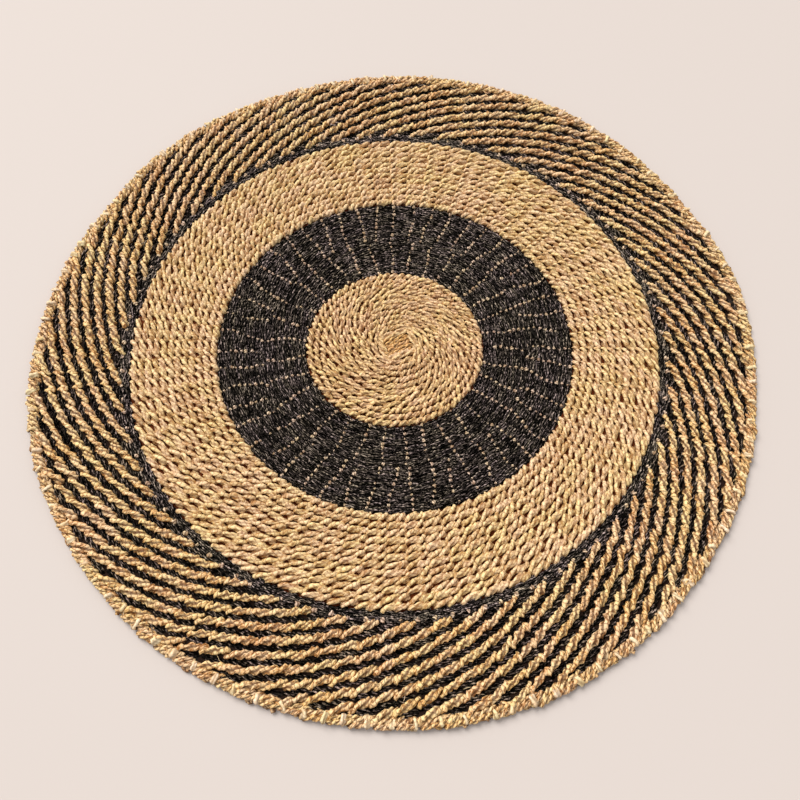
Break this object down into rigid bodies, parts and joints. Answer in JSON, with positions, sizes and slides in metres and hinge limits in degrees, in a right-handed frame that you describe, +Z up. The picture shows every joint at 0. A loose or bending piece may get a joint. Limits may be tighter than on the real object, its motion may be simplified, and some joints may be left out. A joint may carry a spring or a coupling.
{
  "type": "round seagrass rug",
  "caption": "Round hand-twined seagrass floor rug with a natural middle, a black ring, a natural ring and a swirl-striped border.",
  "frame": {"origin": "the weaving centre, on the flat underside that lies on the floor", "axes": "+Z up out of the rug's face, +X to the right and +Y away from the viewer as the picture shows it"},
  "size_m": [1.2051, 1.1946, 0.012],
  "materials": {
    "seagrass_natural": "golden straw twisted seagrass cord, matt with a slight sheen along the fibres",
    "seagrass_black": "black dyed fine seagrass cord with a soft grey sheen"
  },
  "bodies": {
    "root": {"rug": "seagrass_natural"}
  },
  "joints": []
}
